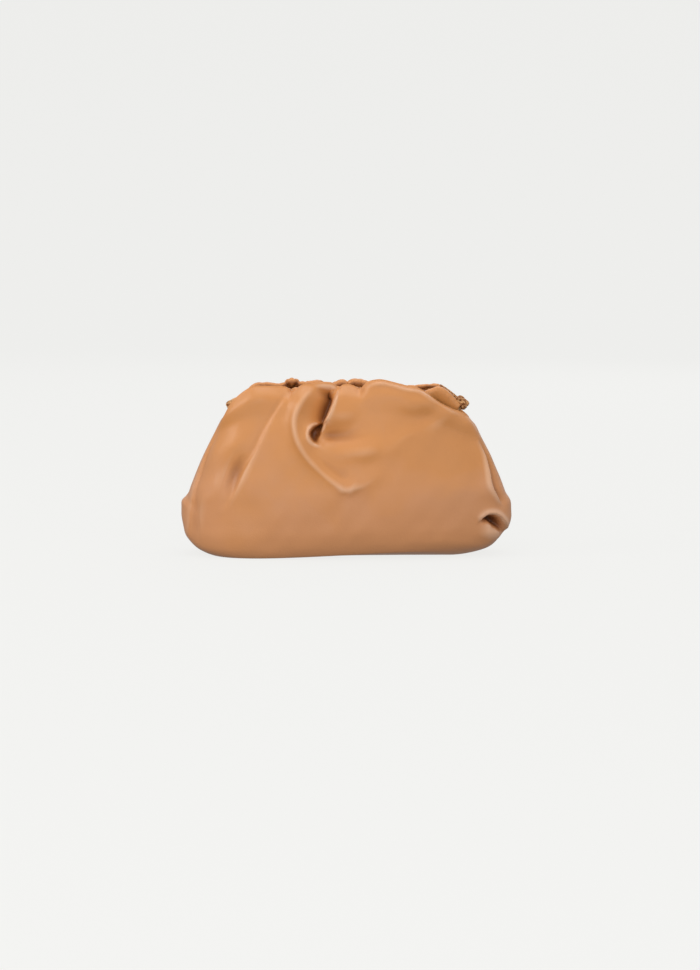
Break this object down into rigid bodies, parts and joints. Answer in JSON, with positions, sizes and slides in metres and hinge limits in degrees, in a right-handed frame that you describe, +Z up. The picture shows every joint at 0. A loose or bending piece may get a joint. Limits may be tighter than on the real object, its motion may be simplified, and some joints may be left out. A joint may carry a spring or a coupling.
{
  "type": "pouch bag",
  "caption": "Soft leather pouch handbag gathered on a hinged covered frame, with a flat base, deep folds at the front and knotted strap ends at the hinges.",
  "frame": {"origin": "on the ground, under the middle of the frame: halfway between its front and back rims and between the pouch's two ends", "axes": "+X along the pouch's width to its right side as the front is seen, +Y to its back, +Z up; the front faces -Y"},
  "size_m": [0.2382, 0.0897, 0.1263],
  "materials": {
    "pouch_leather": "soft smooth nappa with a low sheen",
    "rim_leather": "soft smooth nappa, gathered into rolls",
    "woven_leather": "braided leather strands, matt",
    "pin_metal": "plain, hidden"
  },
  "bodies": {
    "root": {"pouch_body": "pouch_leather", "front_rim": "rim_leather", "back_rim": "rim_leather", "hinge_pin_left": "pin_metal", "hinge_pin_right": "pin_metal", "strap_knot_left": "woven_leather", "strap_knot_right": "woven_leather"}
  },
  "joints": []
}
